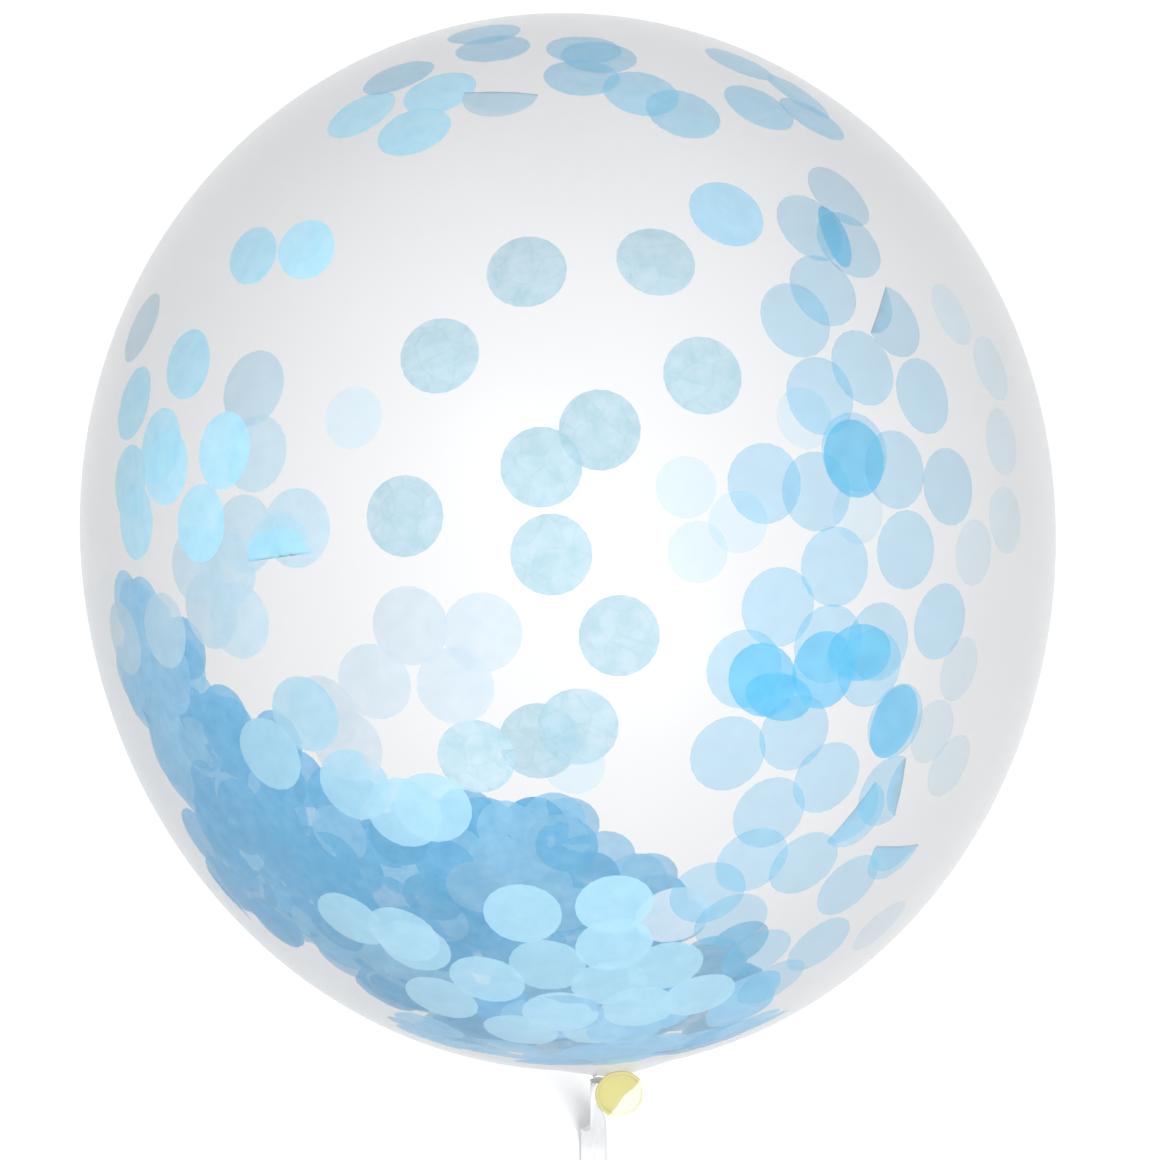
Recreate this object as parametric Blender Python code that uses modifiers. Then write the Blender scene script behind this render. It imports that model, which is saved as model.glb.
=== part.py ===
"""A very large clear latex balloon, lying on its side, with its neck knotted and a satin ribbon tied on.

Metres, +Z up. The origin is the centre of the small flat spot that the balloon rests on. The
balloon's own axis is level, along Y: the crown is towards +Y and the knotted neck towards -Y.
"""

import math

import bmesh
import bpy
from mathutils import Vector

# Body, with lengths measured from its widest section
BODY_RADIUS = 0.450
CROWN_LENGTH = 0.476
NECK_LENGTH = 0.500
NIPPLE_RADIUS = 0.070
NIPPLE_HEIGHT = 0.010
NIPPLE_SHARPNESS = 1.3
THROAT_RADIUS = 0.008
THROAT_LENGTH = 0.006
FLAT_SPOT_RADIUS = 0.040
BODY_SIDES = 64
RINGS_PER_HALF = 18
NIPPLE_RINGS = 6

# Knot: two rolls of neck wound round a core
ROLL_RING_RADIUS = 0.0095
ROLL_RADIUS = 0.0048
ROLL_TILTS = (math.radians(14), math.radians(-11))
ROLL_SIDES = 20
ROLL_SECTION_SIDES = 8
KNOT_CORE_RADIUS = 0.0120
KNOT_CORE_LENGTH = 0.0150
KNOT_SIDE_SHIFT = -0.003

# Lip: the neck's end, flared past the knot, with its rolled bead
LIP_RADIUS = 0.0195
BEAD_RADIUS = 0.0018
LIP_WALL = 0.0012
LIP_DEPTH = 0.016
LIP_FLOOR = 0.002
STEM_RADIUS = 0.0072
STEM_END_RADIUS = 0.0045
STEM_LENGTH = 0.0085
FLARE_POWER = 1.35
LIP_CENTRE_FROM_KNOT = Vector((0.0062, 0.0, 0.036))
LIP_LEAN_BACK = math.radians(6)
LIP_LEAN_SIDE = math.radians(5)
LIP_SIDES = 32
BEAD_SIDES = 8
FLARE_STEPS = 6

# Ribbon
CLEARANCE = 0.0003
RIBBON_WIDTH = 0.028
RIBBON_THICKNESS = 0.001
TIE_THICKNESS = 0.003
TIE_KNOT_SIZE = Vector((0.0140, 0.0050, 0.0100))
TIE_SIDES = 24
COIL_OUTER_RADIUS = 0.097
COIL_INNER_RADIUS = 0.064
COIL_SIDES = 48
GATHERED_SHARE = 0.36
GATHERED_LENGTH = 0.075
RUN_POINT_SPACING = 0.0105

# The ribbon's route: it falls from its tie to the floor, and then runs on the floor to the coil.
# The fall is steps out from the tie, sideways and endways, with a height as a share of the tie's.
FALL_ROUTE = (
    (0.0000, 0.000, 1.000),
    (-0.0012, -0.010, 0.900),
    (-0.0033, -0.032, 0.665),
    (-0.0053, -0.059, 0.440),
    (-0.0073, -0.085, 0.220),
    (-0.0088, -0.105, 0.078),
)
# The run is steps out from the tie in the same way, with a height as a share of the ribbon's width.
FLOOR_ROUTE = (
    (-0.0103, -0.127, 0.200),
    (-0.0123, -0.149, 0.040),
    (-0.0136, -0.176, 0.040),
    (-0.0140, -0.188, 0.140),
    (-0.0142, -0.200, 0.310),
    (-0.0144, -0.222, 0.510),
    (-0.0144, -0.240, 0.520),
    (-0.0144, -0.258, 0.520),
)
# How far along the run, as shares of its length, the ribbon turns from on edge to flat, and back.
LAID_FLAT = (0.64, 0.76)
STOOD_UP = (0.86, 0.955)

FLAT_DEPTH = BODY_RADIUS - math.sqrt(BODY_RADIUS**2 - FLAT_SPOT_RADIUS**2)
AXIS_HEIGHT = BODY_RADIUS - FLAT_DEPTH
NIPPLE_END = NECK_LENGTH + NIPPLE_HEIGHT
THROAT_END = NIPPLE_END + THROAT_LENGTH
# Each roll is tilted twice over, so its own axis is this far off the balloon's.
ROLL_LEAN = math.acos(math.cos(max(ROLL_TILTS, key=abs)) ** 2)
KNOT_HALF_LENGTH = ROLL_RING_RADIUS * math.sin(ROLL_LEAN) + ROLL_RADIUS
KNOT_CENTRE = Vector((KNOT_SIDE_SHIFT, -(THROAT_END + KNOT_HALF_LENGTH), AXIS_HEIGHT))
TIE_CENTRE = Vector((0.0, -(NIPPLE_END + THROAT_LENGTH / 2), AXIS_HEIGHT))


def clear_scene():
    for obj in list(bpy.data.objects):
        bpy.data.objects.remove(obj, do_unlink=True)


def new_collection(name):
    collection = bpy.data.collections.new(name)
    bpy.context.scene.collection.children.link(collection)
    return collection


def plain_material(name, colour, roughness, alpha=1.0):
    material = bpy.data.materials.new(name)
    material.use_nodes = True
    shader = material.node_tree.nodes["Principled BSDF"]
    shader.inputs["Base Color"].default_value = (*colour, 1.0)
    shader.inputs["Roughness"].default_value = roughness
    shader.inputs["Metallic"].default_value = 0.0
    shader.inputs["Alpha"].default_value = alpha
    return material


def add_object(name, data, collection, material=None):
    obj = bpy.data.objects.new(name, data)
    collection.objects.link(obj)
    if material is not None:
        data.materials.append(material)
    return obj


def hide_helper(obj):
    obj.hide_render = True
    obj.display_type = "WIRE"


def profile_mesh(name, points, closed):
    """An outline of edges in the XZ plane, for a Screw modifier to turn about Z."""
    mesh = bpy.data.meshes.new(name)
    outline = bmesh.new()
    corners = [outline.verts.new((radius, 0.0, height)) for radius, height in points]
    for first, second in zip(corners, corners[1:]):
        outline.edges.new((first, second))
    if closed:
        outline.edges.new((corners[-1], corners[0]))
    outline.to_mesh(mesh)
    outline.free()
    return mesh


def turned_object(name, points, sides, collection, material=None, closed=False):
    """A solid of revolution about the object's own Z axis."""
    obj = add_object(name, profile_mesh(name, points, closed), collection, material)
    turn = obj.modifiers.new("turn", "SCREW")
    turn.angle = math.tau
    turn.steps = sides
    turn.render_steps = sides
    turn.use_merge_vertices = True
    turn.merge_threshold = 0.0001
    turn.use_smooth_shade = True
    return obj


def unit_ball(name, collection, segments, rings):
    """A round helper, 1 m across, for its object's scale to size."""
    mesh = bpy.data.meshes.new(name)
    ball = bmesh.new()
    bmesh.ops.create_uvsphere(ball, u_segments=segments, v_segments=rings, radius=0.5)
    ball.to_mesh(mesh)
    ball.free()
    mesh.shade_smooth()
    return add_object(name, mesh, collection)


def cube(name, collection, side):
    mesh = bpy.data.meshes.new(name)
    box = bmesh.new()
    bmesh.ops.create_cube(box, size=side)
    box.to_mesh(mesh)
    box.free()
    return add_object(name, mesh, collection)


def boolean(obj, other, operation):
    cut = obj.modifiers.new(f"{operation.lower()} {other.name}", "BOOLEAN")
    cut.operation = operation
    cut.solver = "EXACT"
    cut.object = other


def body_length_at(radius):
    """How far the neck half reaches from the widest section at this radius, nipple included."""
    on_ellipse = NECK_LENGTH * math.sqrt(1 - (radius / BODY_RADIUS) ** 2)
    inward = (NIPPLE_RADIUS - radius) / (NIPPLE_RADIUS - THROAT_RADIUS)
    return on_ellipse + NIPPLE_HEIGHT * max(0.0, inward) ** NIPPLE_SHARPNESS


def body_profile():
    """From the crown, over the widest section and the nipple, down the throat into the knot."""
    points = []
    for step in range(RINGS_PER_HALF + 1):
        angle = math.pi / 2 * step / RINGS_PER_HALF
        points.append((BODY_RADIUS * math.sin(angle), CROWN_LENGTH * math.cos(angle)))
    for step in range(1, RINGS_PER_HALF):
        radius = BODY_RADIUS * math.cos(math.pi / 2 * step / RINGS_PER_HALF)
        if radius > NIPPLE_RADIUS:
            points.append((radius, -body_length_at(radius)))
    for step in range(NIPPLE_RINGS + 1):
        share = 1 - step / NIPPLE_RINGS
        radius = THROAT_RADIUS + (NIPPLE_RADIUS - THROAT_RADIUS) * share
        points.append((radius, -body_length_at(radius)))
    points.append((THROAT_RADIUS, KNOT_CENTRE.y))
    points.append((0.0, KNOT_CENTRE.y))
    return points


def lip_profile():
    """A closed funnel on a solid stem: down its outer side from the bead, then up its hollow.

    The height is 0 at the bead's centre, and the funnel and its stem go down from there.
    """
    outer = []
    for step in range(1, FLARE_STEPS):
        share = 1 - step / FLARE_STEPS
        radius = STEM_RADIUS + (LIP_RADIUS - STEM_RADIUS) * share**FLARE_POWER
        outer.append((radius, -LIP_DEPTH * (1 - share)))
    bead = []
    for step in range(BEAD_SIDES):
        angle = math.pi - math.tau * step / BEAD_SIDES
        bead.append((LIP_RADIUS + BEAD_RADIUS * math.cos(angle), BEAD_RADIUS * math.sin(angle)))
    stem_end = -LIP_DEPTH - STEM_LENGTH
    stem = [(STEM_RADIUS, -LIP_DEPTH), (STEM_END_RADIUS, stem_end), (0.0, stem_end)]
    hollow = [(radius - LIP_WALL, height + LIP_WALL / 2) for radius, height in outer]
    floor = [(0.0, -LIP_DEPTH + LIP_FLOOR)]
    return floor + hollow[::-1] + bead + outer + stem


def roll_profile():
    """A closed circle, run so that the turned roll faces out."""
    points = []
    for step in range(ROLL_SECTION_SIDES):
        angle = math.tau * step / ROLL_SECTION_SIDES
        points.append((ROLL_RING_RADIUS + ROLL_RADIUS * math.cos(angle), -ROLL_RADIUS * math.sin(angle)))
    return points


def add_balloon(collection, helpers):
    material = plain_material("clear latex", colour=(0.90, 0.92, 0.94), roughness=0.12, alpha=0.25)
    balloon = turned_object("balloon", body_profile(), BODY_SIDES, collection, material)
    balloon.location = (0.0, 0.0, AXIS_HEIGHT)
    balloon.rotation_euler = (math.radians(-90), 0.0, 0.0)

    core = unit_ball("knot core", helpers, segments=16, rings=10)
    core.location = KNOT_CENTRE
    core.scale = (2 * KNOT_CORE_RADIUS, KNOT_CORE_LENGTH, 2 * KNOT_CORE_RADIUS)
    pieces = [core]
    for number, tilt in enumerate(ROLL_TILTS):
        roll = turned_object(f"knot roll {number}", roll_profile(), ROLL_SIDES, helpers, closed=True)
        roll.location = KNOT_CENTRE
        roll.rotation_euler = (math.radians(-90) + tilt, 0.0, tilt)
        pieces.append(roll)
    lip = turned_object("lip", lip_profile(), LIP_SIDES, helpers)
    lip.location = KNOT_CENTRE + LIP_CENTRE_FROM_KNOT
    lip.rotation_euler = (LIP_LEAN_BACK, LIP_LEAN_SIDE, 0.0)
    pieces.append(lip)
    for piece in pieces:
        hide_helper(piece)
        boolean(balloon, piece, "UNION")

    floor_cut = cube("floor cut", helpers, BODY_RADIUS)
    floor_cut.location = (0.0, 0.0, -BODY_RADIUS / 2)
    hide_helper(floor_cut)
    boolean(balloon, floor_cut, "DIFFERENCE")


def add_ribbon_tie(collection, helpers, material):
    """The gathered ribbon round the throat, with its own small knot on one side.

    It gives back the place under the knot that the ribbon's free end hangs from.
    """
    inner = THROAT_RADIUS + CLEARANCE
    outer = inner + TIE_THICKNESS
    half = THROAT_LENGTH / 2 - CLEARANCE
    edge = TIE_THICKNESS / 3
    points = [
        (inner, half - edge),
        (inner + edge, half),
        (outer - edge, half),
        (outer, half - edge),
        (outer, -half + edge),
        (outer - edge, -half),
        (inner + edge, -half),
        (inner, -half + edge),
    ]
    tie = turned_object("ribbon_tie", points, TIE_SIDES, collection, material, closed=True)
    tie.location = TIE_CENTRE
    tie.rotation_euler = (math.radians(-90), 0.0, 0.0)

    knot = unit_ball("tie knot", helpers, segments=12, rings=8)
    knot.location = TIE_CENTRE + Vector((-(outer + TIE_KNOT_SIZE.x / 2 - TIE_THICKNESS / 2), 0.0, 0.0))
    knot.scale = TIE_KNOT_SIZE
    hide_helper(knot)
    boolean(tie, knot, "UNION")
    return knot.location + Vector((-TIE_KNOT_SIZE.x / 4, 0.0, -TIE_KNOT_SIZE.z / 2 - CLEARANCE))


def catmull_rom(points, count):
    """count + 1 points, evenly spaced along a smooth curve through these points, and its length."""
    ends = [2 * points[0] - points[1], *points, 2 * points[-1] - points[-2]]
    fine = []
    span_steps = 24
    for before, start, end, after in zip(ends, ends[1:], ends[2:], ends[3:]):
        for step in range(span_steps):
            t = step / span_steps
            fine.append(
                0.5
                * (
                    2 * start
                    + (end - before) * t
                    + (2 * before - 5 * start + 4 * end - after) * t**2
                    + (3 * start - before - 3 * end + after) * t**3
                )
            )
    fine.append(points[-1])
    travelled = [0.0]
    for first, second in zip(fine, fine[1:]):
        travelled.append(travelled[-1] + (second - first).length)
    spaced = []
    index = 0
    for step in range(count + 1):
        wanted = travelled[-1] * step / count
        while index < len(fine) - 2 and travelled[index + 1] < wanted:
            index += 1
        share = (wanted - travelled[index]) / (travelled[index + 1] - travelled[index])
        spaced.append(fine[index].lerp(fine[index + 1], share))
    return spaced, travelled[-1]


def ramp(value, start, end):
    share = min(1.0, max(0.0, (value - start) / (end - start)))
    return share * share * (3 - 2 * share)


def run_route(start):
    """The route's own points, from the tie to just short of the coil."""
    points = [Vector((start.x + x, start.y + y, start.z * height)) for x, y, height in FALL_ROUTE]
    for x, y, height in FLOOR_ROUTE:
        points.append(Vector((start.x + x, start.y + y, RIBBON_WIDTH * height)))
    return points


def add_ribbon_run(collection, material, start):
    """The ribbon's stretch that isn't coiled: a strip that lies flat midway, and stands again.

    It gives back the strip's far end.
    """
    route = run_route(start)
    rough_length = sum((b - a).length for a, b in zip(route, route[1:]))
    points, length = catmull_rom(route, round(rough_length / RUN_POINT_SPACING))
    data = bpy.data.curves.new("ribbon_run", "CURVE")
    data.dimensions = "3D"
    data.twist_mode = "Z_UP"
    data.extrude = RIBBON_WIDTH / 2 - RIBBON_THICKNESS / 2
    data.bevel_depth = RIBBON_THICKNESS / 2
    data.bevel_resolution = 0
    data.use_fill_caps = True
    line = data.splines.new("POLY")
    line.points.add(len(points) - 1)
    for index, point in enumerate(points):
        share = index / (len(points) - 1)
        flat = ramp(share, *LAID_FLAT) - ramp(share, *STOOD_UP)
        opened = ramp(share * length, 0.0, GATHERED_LENGTH)
        line.points[index].co = (*point, 1.0)
        line.points[index].tilt = math.pi / 2 * flat
        line.points[index].radius = GATHERED_SHARE + (1 - GATHERED_SHARE) * opened
    add_object("ribbon_run", data, collection, material)
    return points[-1]


def add_ribbon_coil(collection, material, entry):
    """The outer shape of the loose turns that the rest of the ribbon lies in, standing on edge."""
    middle = (COIL_OUTER_RADIUS + COIL_INNER_RADIUS) / 2
    points = [
        (COIL_INNER_RADIUS, RIBBON_WIDTH),
        (COIL_OUTER_RADIUS, RIBBON_WIDTH),
        (COIL_OUTER_RADIUS, 0.0),
        (COIL_INNER_RADIUS, 0.0),
    ]
    coil = turned_object("ribbon_coil", points, COIL_SIDES, collection, material, closed=True)
    reach = COIL_OUTER_RADIUS + CLEARANCE
    sideways = COIL_OUTER_RADIUS - (COIL_OUTER_RADIUS - middle) / 2
    endways = math.sqrt(reach**2 - (sideways - RIBBON_THICKNESS) ** 2)
    coil.location = (entry.x + sideways, entry.y - endways, 0.0)


def main():
    clear_scene()
    parts = new_collection("confetti balloon")
    helpers = new_collection("helpers")
    satin = plain_material("satin ribbon", colour=(0.86, 0.86, 0.87), roughness=0.4)
    add_balloon(parts, helpers)
    start = add_ribbon_tie(parts, helpers, satin)
    entry = add_ribbon_run(parts, satin, start)
    add_ribbon_coil(parts, satin, entry)


main()
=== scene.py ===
import math
import random

import bmesh
import bpy
from mathutils import Matrix, Vector, noise


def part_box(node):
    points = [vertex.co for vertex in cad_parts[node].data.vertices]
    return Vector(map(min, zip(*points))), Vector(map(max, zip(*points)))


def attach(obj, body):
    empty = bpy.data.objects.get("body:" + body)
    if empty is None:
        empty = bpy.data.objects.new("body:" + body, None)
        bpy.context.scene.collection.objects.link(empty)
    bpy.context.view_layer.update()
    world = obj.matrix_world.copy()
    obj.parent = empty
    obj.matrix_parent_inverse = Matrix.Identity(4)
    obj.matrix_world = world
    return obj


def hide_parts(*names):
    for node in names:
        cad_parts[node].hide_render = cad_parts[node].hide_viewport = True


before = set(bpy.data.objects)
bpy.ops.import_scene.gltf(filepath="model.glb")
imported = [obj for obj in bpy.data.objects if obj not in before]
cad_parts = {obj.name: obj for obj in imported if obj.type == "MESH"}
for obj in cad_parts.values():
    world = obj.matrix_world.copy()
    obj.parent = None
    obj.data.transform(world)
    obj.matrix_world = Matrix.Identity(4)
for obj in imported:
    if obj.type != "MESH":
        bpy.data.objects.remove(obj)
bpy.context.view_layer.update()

# Camera. The photograph shows the balloon upright from the side, so the camera looks straight down
# on the balloon lying, through a long lens, turned so that the neck leans 5 degrees to the right.
PHOTO_SIDE = 1160
FOCAL_PIXELS = 3414
SENSOR_WIDTH = 36.0
CAMERA_PLACE = Vector((0.00707, -0.04737, 3.628))
CAMERA_TURN = math.radians(5)

camera_data = bpy.data.cameras.new("camera")
camera_data.sensor_width = SENSOR_WIDTH
camera_data.lens = FOCAL_PIXELS * SENSOR_WIDTH / PHOTO_SIDE
camera = bpy.data.objects.new("camera", camera_data)
camera.location = CAMERA_PLACE
camera.rotation_euler = (0.0, 0.0, -CAMERA_TURN)
bpy.context.scene.collection.objects.link(camera)
bpy.context.scene.camera = camera


# Ribbon. One length of white satin ribbon, 28 mm wide, heat-cut at its end. It hangs from its knot
# at the balloon's neck, lies flat on the floor, and then stands on edge in loose turns.
RIBBON_WIDTH = 0.028
RIBBON_THICKNESS = 0.0004
RIBBON_START = Vector((-0.0203, -0.5130, 0.4429))
# The fall is steps out from the start, sideways and endways, with a share of the start's height.
FALL_ROUTE = (
    (0.0000, 0.000, 1.000),
    (-0.0012, -0.010, 0.900),
    (-0.0033, -0.032, 0.665),
    (-0.0053, -0.059, 0.440),
    (-0.0073, -0.085, 0.220),
    (-0.0088, -0.105, 0.078),
)
# The run is steps in the same way, with a height as a share of the ribbon's width.
FLOOR_ROUTE = (
    (-0.0103, -0.127, 0.200),
    (-0.0123, -0.149, 0.040),
    (-0.0136, -0.176, 0.040),
    (-0.0140, -0.188, 0.140),
    (-0.0142, -0.200, 0.310),
    (-0.0144, -0.222, 0.510),
    (-0.0144, -0.240, 0.520),
    (-0.0144, -0.258, 0.520),
)
RUN_LENGTH = 0.595
LAID_FLAT = (0.38, 0.45)
STOOD_UP = (0.51, 0.565)
COIL_CENTRE = Vector((0.0541, -0.8130, 0.0146))
COIL_START_RADIUS = 0.0888
COIL_PITCH = 0.0122
COIL_TURNS = 1.7
COIL_POINTS_A_TURN = 24
RIBBON_ROW = 0.004
RIBBON_COLUMNS = 16
# At its knot the ribbon is gathered into pleats, and opens to its full width over this length.
GATHERED_LENGTH = 0.070
GATHERED_NARROWING = 0.68
PLEATS = 2.5
PLEAT_DEPTH = 0.0026
PLEAT_START = 1.1
# The hanging stretch is turned on itself by this much, which fades out past this share of the run.
SWING = 0.20
SWING_HELD = 0.6
# The woven edge is greyer, and blends into the satin between these distances from the ribbon's side.
SELVEDGE_SOLID = 0.0010
SELVEDGE_BLENDED = 0.0016


def new_piece(name, bm, *materials):
    """A mesh object at the origin, smooth shaded, that rides on the balloon."""
    mesh = bpy.data.meshes.new(name)
    bm.to_mesh(mesh)
    bm.free()
    mesh.shade_smooth()
    for material in materials:
        mesh.materials.append(material)
    piece = bpy.data.objects.new(name, mesh)
    bpy.context.scene.collection.objects.link(piece)
    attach(piece, "root")
    return piece


def ramp(value, start, end):
    """Rises smoothly from 0 at the start to 1 at the end, and stays level outside them."""
    share = min(1.0, max(0.0, (value - start) / (end - start)))
    return share * share * (3 - 2 * share)


def smooth_line(points, spacing):
    """Evenly spaced points on a smooth curve through these points."""
    ends = [2 * points[0] - points[1], *points, 2 * points[-1] - points[-2]]
    span_steps = 24
    fine = []
    for before, start, end, after in zip(ends, ends[1:], ends[2:], ends[3:]):
        for step in range(span_steps):
            t = step / span_steps
            fine.append(
                0.5
                * (
                    2 * start
                    + (end - before) * t
                    + (2 * before - 5 * start + 4 * end - after) * t**2
                    + (3 * start - before - 3 * end + after) * t**3
                )
            )
    fine.append(points[-1])
    travelled = [0.0]
    for first, second in zip(fine, fine[1:]):
        travelled.append(travelled[-1] + (second - first).length)
    count = round(travelled[-1] / spacing)
    spaced = []
    index = 0
    for step in range(count + 1):
        wanted = travelled[-1] * step / count
        while index < len(fine) - 2 and travelled[index + 1] < wanted:
            index += 1
        share = (wanted - travelled[index]) / (travelled[index + 1] - travelled[index])
        spaced.append(fine[index].lerp(fine[index + 1], share))
    return spaced, travelled[-1]


def node_tools(name):
    """A new material's Principled shader, and short ways to add and join nodes."""
    material = bpy.data.materials.new(name)
    material.use_nodes = True
    tree = material.node_tree

    def add(kind, **settings):
        node = tree.nodes.new(kind)
        for key, value in settings.items():
            if hasattr(node, key):
                setattr(node, key, value)
            else:
                node.inputs[key.replace("_", " ")].default_value = value
        return node

    def join(source, target):
        tree.links.new(source, target)

    return material, tree.nodes["Principled BSDF"], add, join


satin, satin_shader, add, join = node_tools("white satin")
ribbon_uv = add("ShaderNodeUVMap", uv_map="weave")
apart = add("ShaderNodeSeparateXYZ")
join(ribbon_uv.outputs["UV"], apart.inputs["Vector"])
from_middle = add("ShaderNodeMath", operation="SUBTRACT")
from_middle.inputs[1].default_value = RIBBON_WIDTH / 2
join(apart.outputs["X"], from_middle.inputs[0])
edge_distance = add("ShaderNodeMath", operation="ABSOLUTE")
join(from_middle.outputs[0], edge_distance.inputs[0])
selvedge = add("ShaderNodeMapRange")
selvedge.inputs["From Min"].default_value = RIBBON_WIDTH / 2 - SELVEDGE_BLENDED
selvedge.inputs["From Max"].default_value = RIBBON_WIDTH / 2 - SELVEDGE_SOLID
join(edge_distance.outputs[0], selvedge.inputs["Value"])
threads = add("ShaderNodeTexWave", wave_type="BANDS", bands_direction="X", Scale=420.0, Distortion=1.0)
join(ribbon_uv.outputs["UV"], threads.inputs["Vector"])
slubs = add("ShaderNodeTexNoise", Scale=55.0, Detail=4.0, Roughness=0.6)
slub_stretch = add("ShaderNodeMapping")
slub_stretch.inputs["Scale"].default_value = (8.0, 1.0, 1.0)
join(ribbon_uv.outputs["UV"], slub_stretch.inputs["Vector"])
join(slub_stretch.outputs["Vector"], slubs.inputs["Vector"])
satin_colour = add("ShaderNodeValToRGB")
satin_colour.color_ramp.elements[0].position = 0.3
satin_colour.color_ramp.elements[0].color = (0.62, 0.62, 0.63, 1.0)
satin_colour.color_ramp.elements[1].position = 0.75
satin_colour.color_ramp.elements[1].color = (0.71, 0.71, 0.715, 1.0)
join(slubs.outputs["Fac"], satin_colour.inputs["Fac"])
edge_colour = add("ShaderNodeMix", data_type="RGBA")
join(selvedge.outputs["Result"], edge_colour.inputs["Factor"])
join(satin_colour.outputs["Color"], edge_colour.inputs[6])
edge_colour.inputs[7].default_value = (0.58, 0.58, 0.595, 1.0)
join(edge_colour.outputs[2], satin_shader.inputs["Base Color"])
thread_height = add("ShaderNodeMath", operation="MULTIPLY_ADD")
thread_height.inputs[1].default_value = 0.35
join(threads.outputs["Fac"], thread_height.inputs[0])
join(slubs.outputs["Fac"], thread_height.inputs[2])
weave_bump = add("ShaderNodeBump", Strength=0.35, Distance=0.0004)
join(thread_height.outputs[0], weave_bump.inputs["Height"])
join(weave_bump.outputs["Normal"], satin_shader.inputs["Normal"])
satin_shader.inputs["Roughness"].default_value = 0.38
satin_shader.inputs["Sheen Weight"].default_value = 0.25
satin_shader.inputs["Specular IOR Level"].default_value = 0.55

route = [RIBBON_START + Vector((x, y, 0)) for x, y, height in FALL_ROUTE + FLOOR_ROUTE]
for point, (x, y, height) in zip(route, FALL_ROUTE):
    point.z = RIBBON_START.z * height
for point, (x, y, height) in zip(route[len(FALL_ROUTE):], FLOOR_ROUTE):
    point.z = RIBBON_WIDTH * height
for step in range(round(COIL_TURNS * COIL_POINTS_A_TURN) + 1):
    turn = step / COIL_POINTS_A_TURN
    angle = math.pi + math.tau * turn
    radius = COIL_START_RADIUS - COIL_PITCH * turn
    route.append(COIL_CENTRE + radius * Vector((math.cos(angle), math.sin(angle), 0)))
ribbon_line, ribbon_length = smooth_line(route, RIBBON_ROW)

bm = bmesh.new()
weave = bm.loops.layers.uv.new("weave")
rows = len(ribbon_line) - 1
bmesh.ops.create_grid(bm, x_segments=RIBBON_COLUMNS, y_segments=rows, size=0.5, calc_uvs=True)
for face in bm.faces:
    for loop in face.loops:
        loop[weave].uv.x *= RIBBON_WIDTH
        loop[weave].uv.y *= ribbon_length
for vertex in bm.verts:
    across = vertex.co.x
    row = min(rows, round((vertex.co.y + 0.5) * rows))
    along = ribbon_length * row / rows
    heading = (ribbon_line[min(rows, row + 1)] - ribbon_line[max(0, row - 1)]).normalized()
    upright = (Vector((0, 0, 1)) - heading.z * heading).normalized()
    flat = ramp(along, *LAID_FLAT) - ramp(along, *STOOD_UP)
    swing = SWING * (1 - ramp(along, RUN_LENGTH * SWING_HELD, RUN_LENGTH)) * (1 - flat)
    wide = Matrix.Rotation(math.pi / 2 * flat + swing, 3, heading) @ upright
    out = heading.cross(wide)
    gathered = 1 - ramp(along, 0.0, GATHERED_LENGTH)
    width = RIBBON_WIDTH * (1 - GATHERED_NARROWING * gathered)
    pleat = PLEAT_DEPTH * gathered * math.sin(math.tau * PLEATS * across + PLEAT_START)
    vertex.co = ribbon_line[row] + wide * across * width + out * pleat
bmesh.ops.recalc_face_normals(bm, faces=bm.faces)
ribbon = new_piece("satin_ribbon", bm, satin)
ribbon_body = ribbon.modifiers.new("cloth thickness", "SOLIDIFY")
ribbon_body.thickness = RIBBON_THICKNESS
ribbon_body.offset = 0.0
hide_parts("ribbon_run", "ribbon_coil")


# Ribbon's tie. The same ribbon gathered into a cord and wound round the throat, then pulled into a
# small hard knot on the left, which the free end hangs from.
TIE_CENTRE = Vector((0.0, -0.5130, 0.4482))
STRAND_RADIUS = 0.00135
STRAND_RING_RADIUS = 0.0098
STRAND_SIDES = 10
STRAND_STEPS = 72
TIE_KNOT_PLACE = Vector((-0.0168, 0.0, 0.0))
TIE_KNOT_SIZE = Vector((0.0140, 0.0054, 0.0104))
STRAND_FOLDS = 9
STRAND_TWIST = 900
STRAND_FOLD_DEPTH = 0.035
TIE_KNOT_CREASES = 11
TIE_KNOT_CREASE_DEPTH = 0.10
TIE_KNOT_LUMP_DEPTH = 0.12

bm = bmesh.new()
weave = bm.loops.layers.uv.new("weave")
for shift in (-STRAND_RADIUS, STRAND_RADIUS):
    section = bmesh.ops.create_circle(
        bm,
        segments=STRAND_SIDES,
        radius=STRAND_RADIUS,
        matrix=Matrix.Translation((STRAND_RING_RADIUS, shift, 0.0)),
    )["verts"]
    edges = list({edge for vertex in section for edge in vertex.link_edges})
    bmesh.ops.spin(
        bm,
        geom=section + edges,
        cent=(0, 0, 0),
        axis=(0, 1, 0),
        angle=math.tau,
        steps=STRAND_STEPS,
        use_merge=True,
    )
for vertex in bm.verts:
    angle = math.atan2(vertex.co.z, vertex.co.x)
    fold = 1 + STRAND_FOLD_DEPTH * math.sin(STRAND_FOLDS * angle + STRAND_TWIST * vertex.co.y)
    vertex.co.x *= fold
    vertex.co.z *= fold
tie_knot = bmesh.ops.create_icosphere(bm, subdivisions=4, radius=0.5)["verts"]
for vertex in tie_knot:
    round_knot = TIE_KNOT_CREASES * math.atan2(vertex.co.y, vertex.co.z)
    crease = TIE_KNOT_CREASE_DEPTH * math.sin(round_knot + 7 * vertex.co.x)
    crease += TIE_KNOT_LUMP_DEPTH * noise.noise(vertex.co * 4.0)
    shape = vertex.co * (1 + crease)
    vertex.co = TIE_KNOT_PLACE + Vector(side * size for side, size in zip(shape, TIE_KNOT_SIZE))
bmesh.ops.translate(bm, verts=bm.verts, vec=TIE_CENTRE)
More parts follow.
